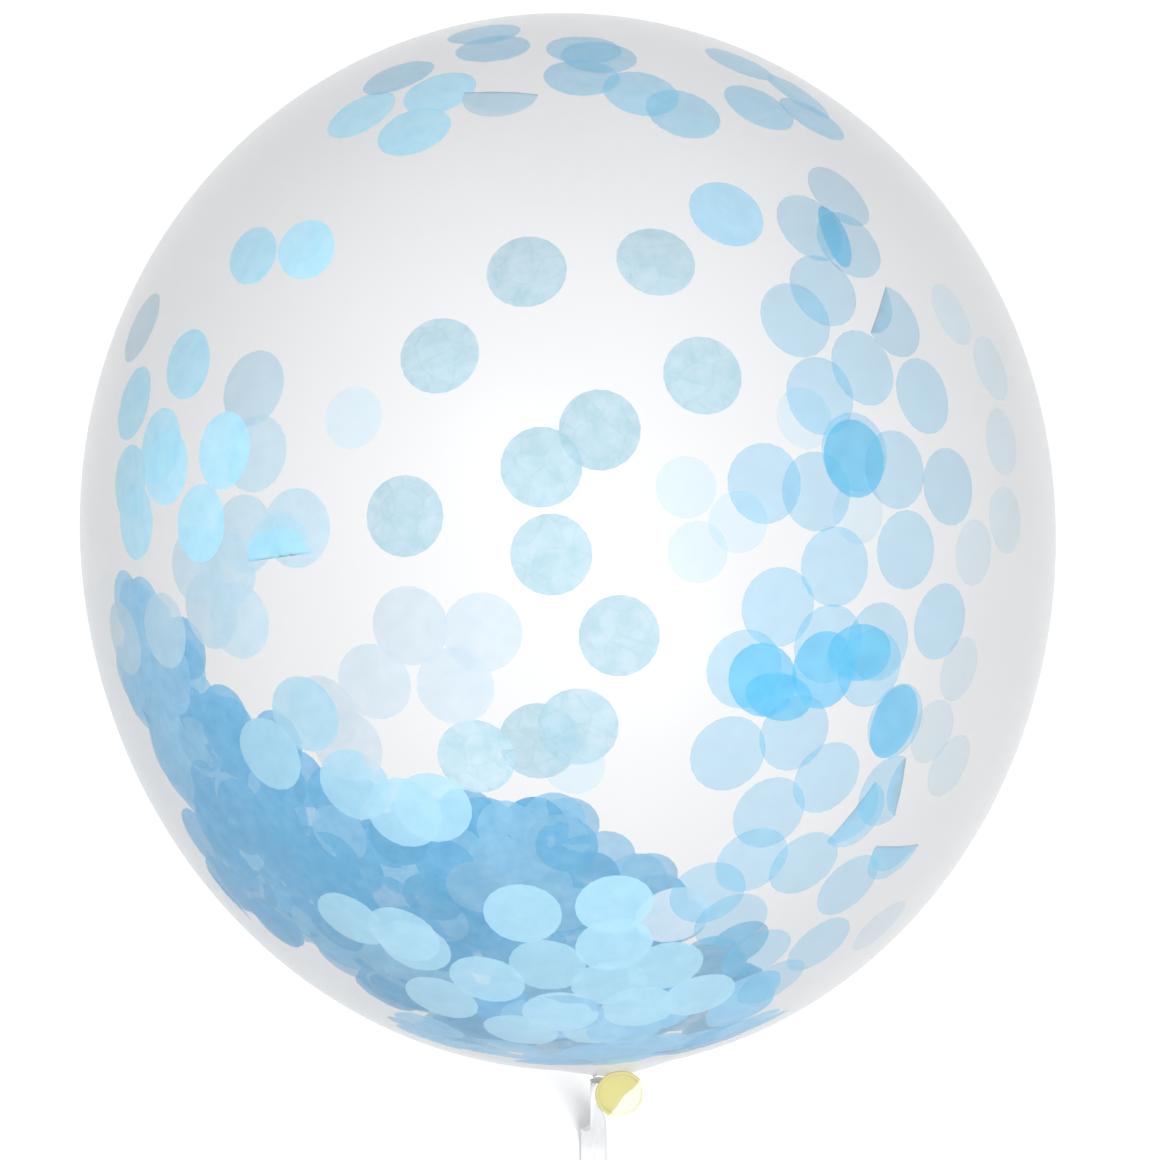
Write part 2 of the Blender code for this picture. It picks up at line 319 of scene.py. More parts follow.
bmesh.ops.recalc_face_normals(bm, faces=bm.faces)
for face in bm.faces:
    for loop in face.loops:
        loop[weave].uv = (loop.vert.co.x + RIBBON_WIDTH / 2, loop.vert.co.z)
tie = new_piece("ribbon_knot", bm, satin)
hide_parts("ribbon_tie")


# Balloon skin. One dipped skin of clear latex, blown up to 0.9 m, so that it is thin and clear all
# round and thicker and yellower where it narrows to the neck. It rests on a small flat patch.
body_low, body_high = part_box("balloon")
BODY_RADIUS = (body_high[0] - body_low[0]) / 2
AXIS_HEIGHT = body_high[2] - BODY_RADIUS
CROWN_LENGTH = body_high[1]
NECK_LENGTH = 0.500
SKIN_RINGS = 40
SKIN_STEPS = 160
# Near the neck the skin draws out into a low cone, which narrows to the throat.
CONE_RADIUS = 0.070
CONE_HEIGHT = 0.010
CONE_SHARPNESS = 1.3
CONE_RINGS = 14
THROAT_RADIUS = 0.008
KNOT_CENTRE = Vector((-0.003, -0.5240, AXIS_HEIGHT))
NECK_TINT_START = -0.496
NECK_TINT_END = -0.514
# How much of the skin's own milky colour is seen where it faces the eye, and where it is edge on.
VEIL_FACING = 0.06
VEIL_EDGE_ON = 0.43

latex, latex_shader, add, join = node_tools("clear latex")
place = add("ShaderNodeTexCoord")
cloud = add("ShaderNodeTexNoise", Scale=5.0, Detail=2.0, Roughness=0.5)
join(place.outputs["Object"], cloud.inputs["Vector"])
apart = add("ShaderNodeSeparateXYZ")
join(place.outputs["Object"], apart.inputs["Vector"])
neckward = add("ShaderNodeMapRange", interpolation_type="SMOOTHSTEP")
neckward.inputs["From Min"].default_value = NECK_TINT_START
neckward.inputs["From Max"].default_value = NECK_TINT_END
join(apart.outputs["Y"], neckward.inputs["Value"])
clear_tint = add("ShaderNodeValToRGB")
clear_tint.color_ramp.elements[0].position = 0.35
clear_tint.color_ramp.elements[0].color = (0.24, 0.25, 0.26, 1.0)
clear_tint.color_ramp.elements[1].position = 0.70
clear_tint.color_ramp.elements[1].color = (0.30, 0.305, 0.30, 1.0)
join(cloud.outputs["Fac"], clear_tint.inputs["Fac"])
neck_tint = add("ShaderNodeMix", data_type="RGBA")
join(neckward.outputs["Result"], neck_tint.inputs[0])
join(clear_tint.outputs["Color"], neck_tint.inputs[6])
neck_tint.inputs[7].default_value = (0.43, 0.40, 0.18, 1.0)
join(neck_tint.outputs[2], latex_shader.inputs["Base Color"])
gloss = add("ShaderNodeMapRange")
gloss.inputs["To Min"].default_value = 0.16
gloss.inputs["To Max"].default_value = 0.30
join(cloud.outputs["Fac"], gloss.inputs["Value"])
join(gloss.outputs["Result"], latex_shader.inputs["Roughness"])
slant = add("ShaderNodeLayerWeight", Blend=0.5)
path_through = add("ShaderNodeMath", operation="POWER")
path_through.inputs[1].default_value = 0.6
join(slant.outputs["Facing"], path_through.inputs[0])
veil = add("ShaderNodeMapRange")
veil.inputs["To Min"].default_value = VEIL_FACING
veil.inputs["To Max"].default_value = VEIL_EDGE_ON
join(path_through.outputs[0], veil.inputs["Value"])
join(veil.outputs["Result"], latex_shader.inputs["Alpha"])
latex_shader.inputs["IOR"].default_value = 1.52

profile = []
for step in range(SKIN_RINGS + 1):
    angle = math.pi / 2 * step / SKIN_RINGS
    profile.append((BODY_RADIUS * math.sin(angle), CROWN_LENGTH * math.cos(angle)))
for step in range(1, SKIN_RINGS):
    radius = BODY_RADIUS * math.cos(math.pi / 2 * step / SKIN_RINGS)
    if radius > CONE_RADIUS:
        profile.append((radius, -NECK_LENGTH * math.sqrt(1 - (radius / BODY_RADIUS) ** 2)))
for step in range(CONE_RINGS + 1):
    inward = step / CONE_RINGS
    radius = CONE_RADIUS + (THROAT_RADIUS - CONE_RADIUS) * inward
    along = NECK_LENGTH * math.sqrt(1 - (radius / BODY_RADIUS) ** 2)
    profile.append((radius, -along - CONE_HEIGHT * inward**CONE_SHARPNESS))
profile.append((THROAT_RADIUS, KNOT_CENTRE.y))
profile.append((0.0, KNOT_CENTRE.y))


def turned(bm, profile, steps, lift=0.0):
    """Turns an outline of (radius, place along Y) about the Y axis, and closes its poles."""
    corners = [bm.verts.new((radius, along, 0.0)) for radius, along in profile]
    edges = [bm.edges.new(pair) for pair in zip(corners, corners[1:])]
    bmesh.ops.spin(
        bm,
        geom=corners + edges,
        cent=(0, 0, 0),
        axis=(0, 1, 0),
        angle=math.tau,
        steps=steps,
        use_merge=True,
    )
    bmesh.ops.remove_doubles(bm, verts=bm.verts, dist=0.00001)
    bmesh.ops.translate(bm, verts=bm.verts, vec=(0, 0, lift))
    bmesh.ops.recalc_face_normals(bm, faces=bm.faces)


bm = bmesh.new()
turned(bm, profile, SKIN_STEPS, AXIS_HEIGHT)
bmesh.ops.bisect_plane(
    bm, geom=bm.verts[:] + bm.edges[:] + bm.faces[:], dist=0.00001, plane_co=(0, 0, 0), plane_no=(0, 0, 1)
)
for vertex in bm.verts:
    vertex.co.z = max(0.0, vertex.co.z)
skin = new_piece("balloon_skin", bm, latex)
# Clear latex takes next to no light out of what passes it, so it neither casts a shadow of its own
# nor tints what is round it.
skin.visible_shadow = False
skin.visible_diffuse = False
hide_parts("balloon")


# Knot. The balloon's own neck, twisted round itself and pulled tight, so that the latex is thick
# and yellow there: two rolls over a tight core, drawn into one another.
ROLL_RING_RADIUS = 0.0095
ROLL_RADIUS = 0.0048
ROLL_TILTS = (math.radians(14), math.radians(-11))
KNOT_CORE_SIZE = Vector((0.024, 0.015, 0.024))
KNOT_VOXEL = 0.0005

thick_latex, thick_shader, add, join = node_tools("thick yellow latex")
place = add("ShaderNodeTexCoord")
cloud = add("ShaderNodeTexNoise", Scale=120.0, Detail=4.0, Roughness=0.6)
join(place.outputs["Object"], cloud.inputs["Vector"])
yellow = add("ShaderNodeValToRGB")
yellow.color_ramp.elements[0].position = 0.35
yellow.color_ramp.elements[0].color = (0.50, 0.46, 0.19, 1.0)
yellow.color_ramp.elements[1].position = 0.70
yellow.color_ramp.elements[1].color = (0.60, 0.56, 0.26, 1.0)
join(cloud.outputs["Fac"], yellow.inputs["Fac"])
join(yellow.outputs["Color"], thick_shader.inputs["Base Color"])
wrinkle = add("ShaderNodeTexWave", wave_type="BANDS", bands_direction="Y", Scale=160.0, Distortion=5.0)
join(place.outputs["Object"], wrinkle.inputs["Vector"])
wrinkle_bump = add("ShaderNodeBump", Strength=0.4, Distance=0.0006)
join(wrinkle.outputs["Fac"], wrinkle_bump.inputs["Height"])
join(wrinkle_bump.outputs["Normal"], thick_shader.inputs["Normal"])
thick_shader.inputs["Roughness"].default_value = 0.32
thick_shader.inputs["Subsurface Weight"].default_value = 0.3
thick_shader.inputs["Subsurface Radius"].default_value = (0.004, 0.003, 0.001)

bm = bmesh.new()
core = bmesh.ops.create_uvsphere(bm, u_segments=32, v_segments=20, radius=0.5)["verts"]
for vertex in core:
    vertex.co = Vector(side * size for side, size in zip(vertex.co, KNOT_CORE_SIZE))
for tilt in ROLL_TILTS:
    roll = bmesh.ops.create_circle(
        bm, segments=16, radius=ROLL_RADIUS, matrix=Matrix.Translation((ROLL_RING_RADIUS, 0, 0))
    )["verts"]
    edges = list({edge for vertex in roll for edge in vertex.link_edges})
    known = set(bm.verts) - set(roll)
    bmesh.ops.spin(
        bm, geom=roll + edges, cent=(0, 0, 0), axis=(0, 1, 0), angle=math.tau, steps=48, use_merge=True
    )
    turned_roll = [vertex for vertex in bm.verts if vertex not in known]
    bmesh.ops.rotate(bm, verts=turned_roll, matrix=Matrix.Rotation(tilt, 3, "Z"))
    bmesh.ops.rotate(bm, verts=turned_roll, matrix=Matrix.Rotation(tilt, 3, "X"))
bmesh.ops.translate(bm, verts=bm.verts, vec=KNOT_CENTRE)
bmesh.ops.recalc_face_normals(bm, faces=bm.faces)
knot = new_piece("balloon_knot", bm, thick_latex)
melt = knot.modifiers.new("drawn together", "REMESH")
melt.mode = "VOXEL"
melt.voxel_size = KNOT_VOXEL
melt.use_smooth_shade = True
soften = knot.modifiers.new("tight skin", "SMOOTH")
soften.factor = 0.6
soften.iterations = 4
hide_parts("balloon")


# Lip. The mouth of the neck, left over past the knot: a short stem that flares into a shallow cup
# of thinner latex, painted paler where it is lit, with the thick bead that is rolled round its edge
# when it is dipped.
LIP_RADIUS = 0.0213
BEAD_RADIUS = 0.0017
LIP_DEPTH = 0.016
CUP_DEPTH = 0.0055
STEM_RADIUS = 0.0072
STEM_END_RADIUS = 0.0045
STEM_LENGTH = 0.0110
FLARE_POWER = 1.35
FLARE_STEPS = 12
BEAD_SIDES = 14
LIP_STEPS = 72
LIP_CENTRE = KNOT_CENTRE + Vector((0.0058, 0.0022, 0.039))
LIP_LEAN_BACK = math.radians(13)
LIP_LEAN_SIDE = math.radians(5)
# The lower right of the cup, where it is lit, is painted pale past a ragged line turned by this much:
# painted light, as well as latex stretched thin there.
PAINTED_LIGHT_TURN = math.radians(47)
PAINTED_LIGHT_RAGGEDNESS = 0.006
PAINTED_LIGHT_START = 0.0075
PAINTED_LIGHT_END = 0.0090
RIPPLE = 0.00055
FINE_RIPPLE = 0.0003
OVAL_STRETCH = 0.012

lip_latex, lip_shader, add, join = node_tools("lip latex")
place = add("ShaderNodeTexCoord")
turned_place = add("ShaderNodeMapping")
turned_place.inputs["Location"].default_value = -(Matrix.Rotation(PAINTED_LIGHT_TURN, 3, "Z") @ LIP_CENTRE)
turned_place.inputs["Rotation"].default_value = (0.0, 0.0, PAINTED_LIGHT_TURN)
join(place.outputs["Object"], turned_place.inputs["Vector"])
apart = add("ShaderNodeSeparateXYZ")
join(turned_place.outputs["Vector"], apart.inputs["Vector"])
cloud = add("ShaderNodeTexNoise", Scale=90.0, Detail=3.0)
join(place.outputs["Object"], cloud.inputs["Vector"])
ragged = add("ShaderNodeMath", operation="MULTIPLY_ADD")
ragged.inputs[1].default_value = PAINTED_LIGHT_RAGGEDNESS
join(cloud.outputs["Fac"], ragged.inputs[0])
join(apart.outputs["X"], ragged.inputs[2])
# The share of the cup that is painted pale, as painted light where its inner wall is lit.
folded = add("ShaderNodeMapRange", interpolation_type="SMOOTHSTEP")
folded.inputs["From Min"].default_value = PAINTED_LIGHT_START
folded.inputs["From Max"].default_value = PAINTED_LIGHT_END
join(ragged.outputs[0], folded.inputs["Value"])
# Yellow latex, and the pale cream that is painted where the cup is lit.
lip_colour = add("ShaderNodeMix", data_type="RGBA")
lip_colour.inputs[6].default_value = (0.60, 0.56, 0.24, 1.0)
lip_colour.inputs[7].default_value = (0.88, 0.87, 0.68, 1.0)
join(folded.outputs["Result"], lip_colour.inputs[0])
join(lip_colour.outputs[2], lip_shader.inputs["Base Color"])
lip_bump = add("ShaderNodeBump", Strength=0.25, Distance=0.0005)
join(cloud.outputs["Fac"], lip_bump.inputs["Height"])
join(lip_bump.outputs["Normal"], lip_shader.inputs["Normal"])
lip_shader.inputs["Roughness"].default_value = 0.6
lip_shader.inputs["Specular IOR Level"].default_value = 0.2
lip_shader.inputs["Alpha"].default_value = 0.88

outer = []
for step in range(1, FLARE_STEPS):
    share = 1 - step / FLARE_STEPS
    radius = STEM_RADIUS + (LIP_RADIUS - STEM_RADIUS) * share**FLARE_POWER
    outer.append((radius, -LIP_DEPTH * (1 - share)))
bead = []
for step in range(BEAD_SIDES):
    angle = math.pi - math.tau * step / BEAD_SIDES
    bead.append((LIP_RADIUS + BEAD_RADIUS * math.cos(angle), BEAD_RADIUS * math.sin(angle)))
stem_end = -LIP_DEPTH - STEM_LENGTH
stem = [(STEM_RADIUS, -LIP_DEPTH), (STEM_END_RADIUS, stem_end), (0.0, stem_end)]
cup_edge = LIP_RADIUS - BEAD_RADIUS
cup = []
for step in range(FLARE_STEPS):
    share = step / FLARE_STEPS
    cup.append((cup_edge * share, -CUP_DEPTH * (1 - share**2)))

bm = bmesh.new()
turned(bm, cup + bead + outer + stem, LIP_STEPS)
for vertex in bm.verts:
    angle = math.atan2(vertex.co.z, vertex.co.x)
    out = min(1.0, math.hypot(vertex.co.x, vertex.co.z) / LIP_RADIUS)
    wave = RIPPLE * math.sin(3 * angle + 0.7) + FINE_RIPPLE * math.sin(7 * angle)
    vertex.co.y += wave * out**3
    stretch = 1 + OVAL_STRETCH * out * math.sin(2 * angle + 0.4)
    vertex.co.x *= stretch
    vertex.co.z *= stretch
bmesh.ops.rotate(bm, verts=bm.verts, matrix=Matrix.Rotation(math.radians(90), 3, "X"))
bmesh.ops.rotate(bm, verts=bm.verts, matrix=Matrix.Rotation(LIP_LEAN_BACK, 3, "X"))
bmesh.ops.rotate(bm, verts=bm.verts, matrix=Matrix.Rotation(LIP_LEAN_SIDE, 3, "Y"))
bmesh.ops.translate(bm, verts=bm.verts, vec=LIP_CENTRE)
bmesh.ops.recalc_face_normals(bm, faces=bm.faces)
lip = new_piece("balloon_lip", bm, lip_latex)
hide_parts("balloon")


# Confetti. Discs of 67 mm punched from light blue tissue paper, crinkled in the packet. They cling
# to the inside of the wall by static, and most of them have slid into one drift by the neck.
DISC_RADIUS = 0.0335
DISC_SIDES = 20
DISC_INNER_SHARE = 0.55
EDGE_FOLD = 0.50
HALF_FOLD = 0.12
FLAP_LENGTH = 0.96
FLAP_SLOPE = 0.15
FLAP_GAP = 0.0012
WALL_GAP = 0.0022
LAYER_GAP = 0.0007
LEAST_CURL = 0.0005
MOST_CURL = 0.0035
CRINKLE_HEIGHT = 0.0011
BODY_CENTRE = Vector((0.0, 0.0, AXIS_HEIGHT))
chance = random.Random(11)


def tissue(name, mottle_and_crease_shade_colour, paper_colour, alpha, creased=True):
    """Crinkled tissue paper: darker along its fine creases as painted shade, and see-through by this much.
    """
    material, shader, add, join = node_tools(name)
    place = add("ShaderNodeTexCoord")
    mottle = add("ShaderNodeTexNoise", Scale=60.0, Detail=3.0, Roughness=0.6)
    join(place.outputs["Object"], mottle.inputs["Vector"])
    crinkle_and_crease_shade = mottle.outputs["Fac"]
    if creased:
        creases = add("ShaderNodeTexVoronoi", feature="DISTANCE_TO_EDGE", Scale=42.0, Randomness=1.0)
        join(place.outputs["Object"], creases.inputs["Vector"])
        # The creases lower the colour as well as the surface: painted shade along them.
        crease_and_its_shade = add("ShaderNodeMapRange")
        crease_and_its_shade.inputs["From Max"].default_value = 0.06
        crease_and_its_shade.inputs["To Min"].default_value = -0.12
        crease_and_its_shade.inputs["To Max"].default_value = 0.0
        join(creases.outputs["Distance"], crease_and_its_shade.inputs["Value"])
        creased_sum = add("ShaderNodeMath", operation="ADD")
        join(mottle.outputs["Fac"], creased_sum.inputs[0])
        join(crease_and_its_shade.outputs["Result"], creased_sum.inputs[1])
        crinkle_and_crease_shade = creased_sum.outputs[0]
        bump = add("ShaderNodeBump", Strength=0.5, Distance=0.0008)
        join(crinkle_and_crease_shade, bump.inputs["Height"])
        join(bump.outputs["Normal"], shader.inputs["Normal"])
    colours = add("ShaderNodeValToRGB")
    colours.color_ramp.elements[0].position = 0.32
    colours.color_ramp.elements[0].color = (*mottle_and_crease_shade_colour, 1.0)
    colours.color_ramp.elements[1].position = 0.68
    colours.color_ramp.elements[1].color = (*paper_colour, 1.0)
    join(crinkle_and_crease_shade, colours.inputs["Fac"])
    # Each disc's tone, with its painted light and shade, scales the paper's colour.
    tone_and_light = add("ShaderNodeAttribute", attribute_name="tone_and_light")
    toned_and_lit = add("ShaderNodeVectorMath", operation="SCALE")
    join(colours.outputs["Color"], toned_and_lit.inputs[0])
    join(tone_and_light.outputs["Fac"], toned_and_lit.inputs["Scale"])
    join(toned_and_lit.outputs[0], shader.inputs["Base Color"])
    shader.inputs["Roughness"].default_value = 0.75
    shader.inputs["Specular IOR Level"].default_value = 0.25
    shader.inputs["Alpha"].default_value = alpha
    return material


sheer_blue = tissue("sheer blue tissue", (0.02, 0.37, 0.61), (0.06, 0.46, 0.71), 0.42)
doubled_blue = tissue(
    "doubled sheer blue tissue", (0.01, 0.37, 0.65), (0.05, 0.43, 0.72), 0.72, creased=False
)
pale_blue = tissue("pale blue tissue", (0.29, 0.49, 0.58), (0.41, 0.58, 0.67), 0.80)
faint_blue = tissue("faint blue tissue", (0.25, 0.63, 0.86), (0.35, 0.71, 0.92), 0.26, creased=False)
# Painted light: a lighter copy of the blue tissue, for the discs that lie lit in front of the drift.
lit_bright_blue = tissue("lit bright blue tissue", (0.32, 0.60, 0.76), (0.37, 0.66, 0.81), 0.80, creased=False)
lit_blue = tissue("lit blue tissue", (0.31, 0.73, 0.95), (0.41, 0.80, 0.98), 0.80, creased=False)
soft_blue = tissue("soft blue tissue", (0.16, 0.45, 0.69), (0.23, 0.52, 0.75), 0.78, creased=False)
# The drift's heaped tissue, its colour darkened as painted shade for the shade among its layers.
deep_shaded_blue = tissue("deep shaded blue tissue", (0.055, 0.36, 0.64), (0.11, 0.43, 0.72), 0.80, creased=False)
white_blue = tissue("white blue tissue", (0.50, 0.62, 0.71), (0.57, 0.67, 0.75), 0.74, creased=False)
# Painted shade: a deeper copy of the blue tissue, for the discs near the crown, where less light falls.
crown_shaded_blue = tissue("crown shaded blue tissue", (0.11, 0.53, 0.81), (0.17, 0.60, 0.88), 0.60, creased=False)
shaded_blue = tissue("shaded blue tissue", (0.44, 0.67, 0.82), (0.51, 0.73, 0.86), 0.72, creased=False)


def punched_disc(name, fold=None):
    """One disc, flat in the XY plane. With a fold, what is past it at +X is turned back over."""
    bm = bmesh.new()
    bmesh.ops.create_circle(bm, cap_ends=True, segments=DISC_SIDES, radius=DISC_RADIUS)
    bmesh.ops.inset_individual(bm, faces=bm.faces[:], thickness=DISC_RADIUS * (1 - DISC_INNER_SHARE))
    middle = [face for face in bm.faces if len(face.verts) == DISC_SIDES]
    bmesh.ops.poke(bm, faces=middle)
    if fold is not None:
        everything = bm.verts[:] + bm.edges[:] + bm.faces[:]
        bmesh.ops.bisect_plane(
            bm, geom=everything, dist=0.0001, plane_co=(fold, 0, 0), plane_no=(1, 0, 0)
        )
        for vertex in bm.verts:
            past = vertex.co.x - fold
            if past > 0.0001:
                vertex.co.x = fold - FLAP_LENGTH * past
                vertex.co.z = min(FLAP_GAP, FLAP_SLOPE * past)
    mesh = bpy.data.meshes.new(name)
    bm.to_mesh(mesh)
    bm.free()
    return mesh


whole_disc = punched_disc("whole disc")
turned_edge_disc = punched_disc("disc with its edge turned over", fold=DISC_RADIUS * EDGE_FOLD)
folded_disc = punched_disc("disc folded in half", fold=DISC_RADIUS * HALF_FOLD)


def on_wall(point, depth):
    """Moves a point straight out from the body's centre to this depth inside the wall."""
    out = point - BODY_CENTRE
    length = CROWN_LENGTH if out.y > 0 else NECK_LENGTH
    reach = math.sqrt((out.x**2 + out.z**2) / BODY_RADIUS**2 + (out.y / length) ** 2)
    place = BODY_CENTRE + out * ((1 - depth / BODY_RADIUS) / reach)
    place.z = max(place.z, depth)
    return place


def seen_at(px, py, near):
    """The place on the near or far wall that the photograph shows at this pixel."""
    u = px - PHOTO_SIDE / 2
    v = py - PHOTO_SIDE / 2
    turn_cos = math.cos(CAMERA_TURN)
    turn_sin = math.sin(CAMERA_TURN)
    way = Vector((u * turn_cos - v * turn_sin, -u * turn_sin - v * turn_cos, -FOCAL_PIXELS)) / FOCAL_PIXELS
    start = CAMERA_PLACE - BODY_CENTRE
    length = CROWN_LENGTH
    for attempt in range(2):
        size = Vector((1 / BODY_RADIUS, 1 / length, 1 / BODY_RADIUS))
        # The line of sight meets the wall where a * travel**2 + 2 * b * travel + c is 0.
        a = (way * size).dot(way * size)
        b = (start * size).dot(way * size)
        c = (start * size).dot(start * size) - 1
        inside = max(0.0, b * b - a * c)
        travel = (-b - math.sqrt(inside)) / a if near else (-b + math.sqrt(inside)) / a
        place = start + way * travel
        if (place.y > 0) == (length == CROWN_LENGTH):
            break
        length = NECK_LENGTH
    return BODY_CENTRE + place


def add_disc(bm, tone_and_light_layer, place, layer, material_index, shape=whole_disc, spin=None, curled=1.0, painted_light=1.0):
    """Lays one crinkled disc on the wall's inside, with this many layers between it and the skin."""
    spin = chance.uniform(0, math.tau) if spin is None else spin
    out = (place - BODY_CENTRE).normalized()
    across = Vector((0, 1, 0)).cross(out)
    across = across.normalized() if across.length > 0.01 else Vector((1, 0, 0))
    upward = out.cross(across)
    # The paper's tone differs a little at random, and is scaled by the painted light and shade given for
    # where the disc lies.
    tone_and_light = painted_light * chance.uniform(0.95, 1.05)
    curl = chance.uniform(LEAST_CURL, MOST_CURL)
    curl_way = chance.uniform(0, math.tau)
    seed = Vector((chance.uniform(0, 50), chance.uniform(0, 50), 0))
    old_vertices = len(bm.verts)
    old_faces = len(bm.faces)
    bm.from_mesh(shape)
    bm.verts.ensure_lookup_table()
    bm.faces.ensure_lookup_table()
    for vertex in bm.verts[old_vertices:]:
        flat = vertex.co.copy()
        flat.x *= curled
        turned_flat = Matrix.Rotation(spin, 3, "Z") @ flat
        point = place + across * turned_flat.x + upward * turned_flat.y
        share = math.hypot(flat.x, flat.y) / DISC_RADIUS
        facing = 0.5 + 0.5 * math.cos(math.atan2(flat.y, flat.x) - curl_way)
        rise = curl * (share * facing) ** 2 + CRINKLE_HEIGHT * abs(noise.noise(flat * 60 + seed))
        vertex.co = on_wall(point, WALL_GAP + LAYER_GAP * layer + flat.z + rise)
        vertex[tone_and_light_layer] = tone_and_light
    for face in bm.faces[old_faces:]:
        face.material_index = material_index
        face.smooth = shape is whole_disc


# The single discs, by where the photograph shows them, in its pixels. Each is (across, down) where
# nothing else is said. These are near the crown, in a deeper blue that is painted shade, and three of them
# are lit.
TOP_BAND = (
    (483, 29), (492, 43), (396, 71), (584, 43), (599, 53), (582, 72), (642, 87), (685, 107), (741, 60),
    (761, 103), (802, 90), (816, 112), (728, 211),
)
TOP_LIT = ((358, 108), (411, 124), (437, 84))
# The discs across the middle are (across, down, the factor of painted light and shade on each one's colour).
CENTRE_DISCS = (
    (403, 516, 1.03), (438, 353, 1.12), (526, 269, 1.13), (541, 466, 1.00), (551, 555, 0.97),
    (578, 729, 0.96), (600, 429, 1.02), (620, 637, 0.93), (704, 374, 1.09), (657, 258, 1.10),
)
# These two lie under other discs, and are written in the same way.
HALF_HIDDEN = ((538, 746, 0.98), (474, 762, 1.12))
# Sheer discs, one deep or overlapping, all down the right.
RIGHT_CLUSTER = (
    (842, 193), (813, 224), (853, 241), (827, 287), (798, 318), (866, 366), (824, 394), (928, 394),
    (898, 469), (767, 483), (820, 491), (954, 486), (909, 550), (838, 567), (781, 608), (946, 623),
    (831, 645), (882, 643), (874, 670), (747, 671), (797, 735), (730, 756), (830, 781), (901, 724),
    (771, 815), (754, 864), (807, 868), (852, 890), (709, 896), (733, 926), (822, 950), (759, 960),
    (773, 986), (858, 451),
)
# The folded discs are (across, down, which way the fold faces in degrees).
EDGE_TURNED = ((897, 318, 138), (892, 795, 6))
FOLDED = ((858, 818, 146), (901, 854, 84))
PALE_FOLDED = ((499, 88, 78),)
# A few discs have another stuck on them and stand off the wall, so that they look darker and
# narrower: (across, down, turn, width share).
STUCK_PAIRS = (
    (900, 725, -12, 0.80), (767, 683, 35, 0.88), (829, 673, 0, 0.92), (866, 655, 80, 0.74),
    (784, 700, 70, 0.60), (860, 457, 0, 0.93), (840, 230, -10, 0.42),
)
# The lit discs on the left are (across, down, turn, width share).
LEFT_LIT = (
    (250, 253, 47, 0.76), (303, 246, 47, 0.80), (183, 362, 40, 0.88), (130, 402, 0, 1.0),
    (155, 445, 0, 1.0), (160, 466, 0, 1.0), (221, 450, 0, 0.90), (125, 482, 0, 1.0), (130, 522, 0, 1.0),
    (197, 523, 0, 0.92),
)
LIT_FOLDED = ((275, 553, -88),)
# The greyer discs on the left, in the shade of the lit ones.
SHADED = (
    (136, 325), (248, 386), (250, 452), (240, 534), (292, 528), (190, 566), (222, 570), (205, 612),
    (232, 622), (118, 640), (158, 632),
)
# The faint discs are on the far wall, and are seen through the balloon.
FAR_DISCS = (
    (352, 417), (687, 487), (699, 552), (740, 522), (806, 417), (861, 512), (956, 312), (997, 366),
    (1005, 441), (1010, 520), (978, 553), (964, 671), (935, 733), (953, 768), (883, 930), (574, 768),
)
# These lie on the near wall in front of the drift: a group of whitish ones, and the bright ones, painted
# lighter as lit.
LIGHT_OVER_DRIFT = (
    (406, 628), (480, 635), (369, 686), (452, 690), (318, 717), (342, 750), (676, 925),
)
BRIGHT_OVER_DRIFT = ((350, 790),)
LOWER_BRIGHT = (
    (267, 756), (302, 716), (402, 816), (431, 812), (522, 917), (615, 909), (615, 950), (412, 952),
    (402, 938), (486, 984), (547, 971), (610, 990), (560, 1017), (440, 1003), (348, 925), (667, 972),
    (640, 1012), (700, 1000), (520, 1036), (600, 1036),
)

# The near discs, with their papers in the order of the piece's materials.
SHEER, LIT, PALE, DOUBLED, DIMMED, CROWN_SHADED = range(6)
# How much lighter the lit discs are painted, at the crown and on the left.
TOP_LIT_SHADE = 1.14
LEFT_LIT_SHADE = 1.13
bm = bmesh.new()
tone_and_light_layer = bm.verts.layers.float.new("tone_and_light")
for index, (px, py) in enumerate(TOP_BAND):
    add_disc(bm, tone_and_light_layer, seen_at(px, py, True), index % 4, CROWN_SHADED)
for index, (px, py) in enumerate(RIGHT_CLUSTER):
    add_disc(bm, tone_and_light_layer, seen_at(px, py, True), index % 4, SHEER)
for index, (px, py, painted_light) in enumerate(CENTRE_DISCS):
    add_disc(bm, tone_and_light_layer, seen_at(px, py, True), index % 2, PALE, painted_light=painted_light)
for index, (px, py) in enumerate(TOP_LIT):
    add_disc(bm, tone_and_light_layer, seen_at(px, py, True), 4 + index, LIT, painted_light=TOP_LIT_SHADE)
for px, py, painted_light in HALF_HIDDEN:
    add_disc(bm, tone_and_light_layer, seen_at(px, py, True), 8, PALE, painted_light=painted_light)
for index, (px, py) in enumerate(SHADED):
    add_disc(bm, tone_and_light_layer, seen_at(px, py, True), 3 + index % 3, DIMMED)
for px, py, turn in EDGE_TURNED:
    add_disc(bm, tone_and_light_layer, seen_at(px, py, True), 4, SHEER, turned_edge_disc, math.radians(turn))
for px, py, turn in FOLDED:
    add_disc(bm, tone_and_light_layer, seen_at(px, py, True), 4, SHEER, folded_disc, math.radians(turn))
for px, py, turn in PALE_FOLDED:
    add_disc(bm, tone_and_light_layer, seen_at(px, py, True), 5, DIMMED, folded_disc, math.radians(turn))
for px, py, turn in LIT_FOLDED:
    add_disc(bm, tone_and_light_layer, seen_at(px, py, True), 2, LIT, folded_disc, math.radians(turn))
for px, py, turn, curled in STUCK_PAIRS:
    add_disc(bm, tone_and_light_layer, seen_at(px, py, True), 6, DOUBLED, whole_disc, math.radians(turn), curled)
for index, (px, py, turn, curled) in enumerate(LEFT_LIT):
    place = seen_at(px, py, True)
    add_disc(bm, tone_and_light_layer, place, index % 3, LIT, whole_disc, math.radians(turn), curled, LEFT_LIT_SHADE)
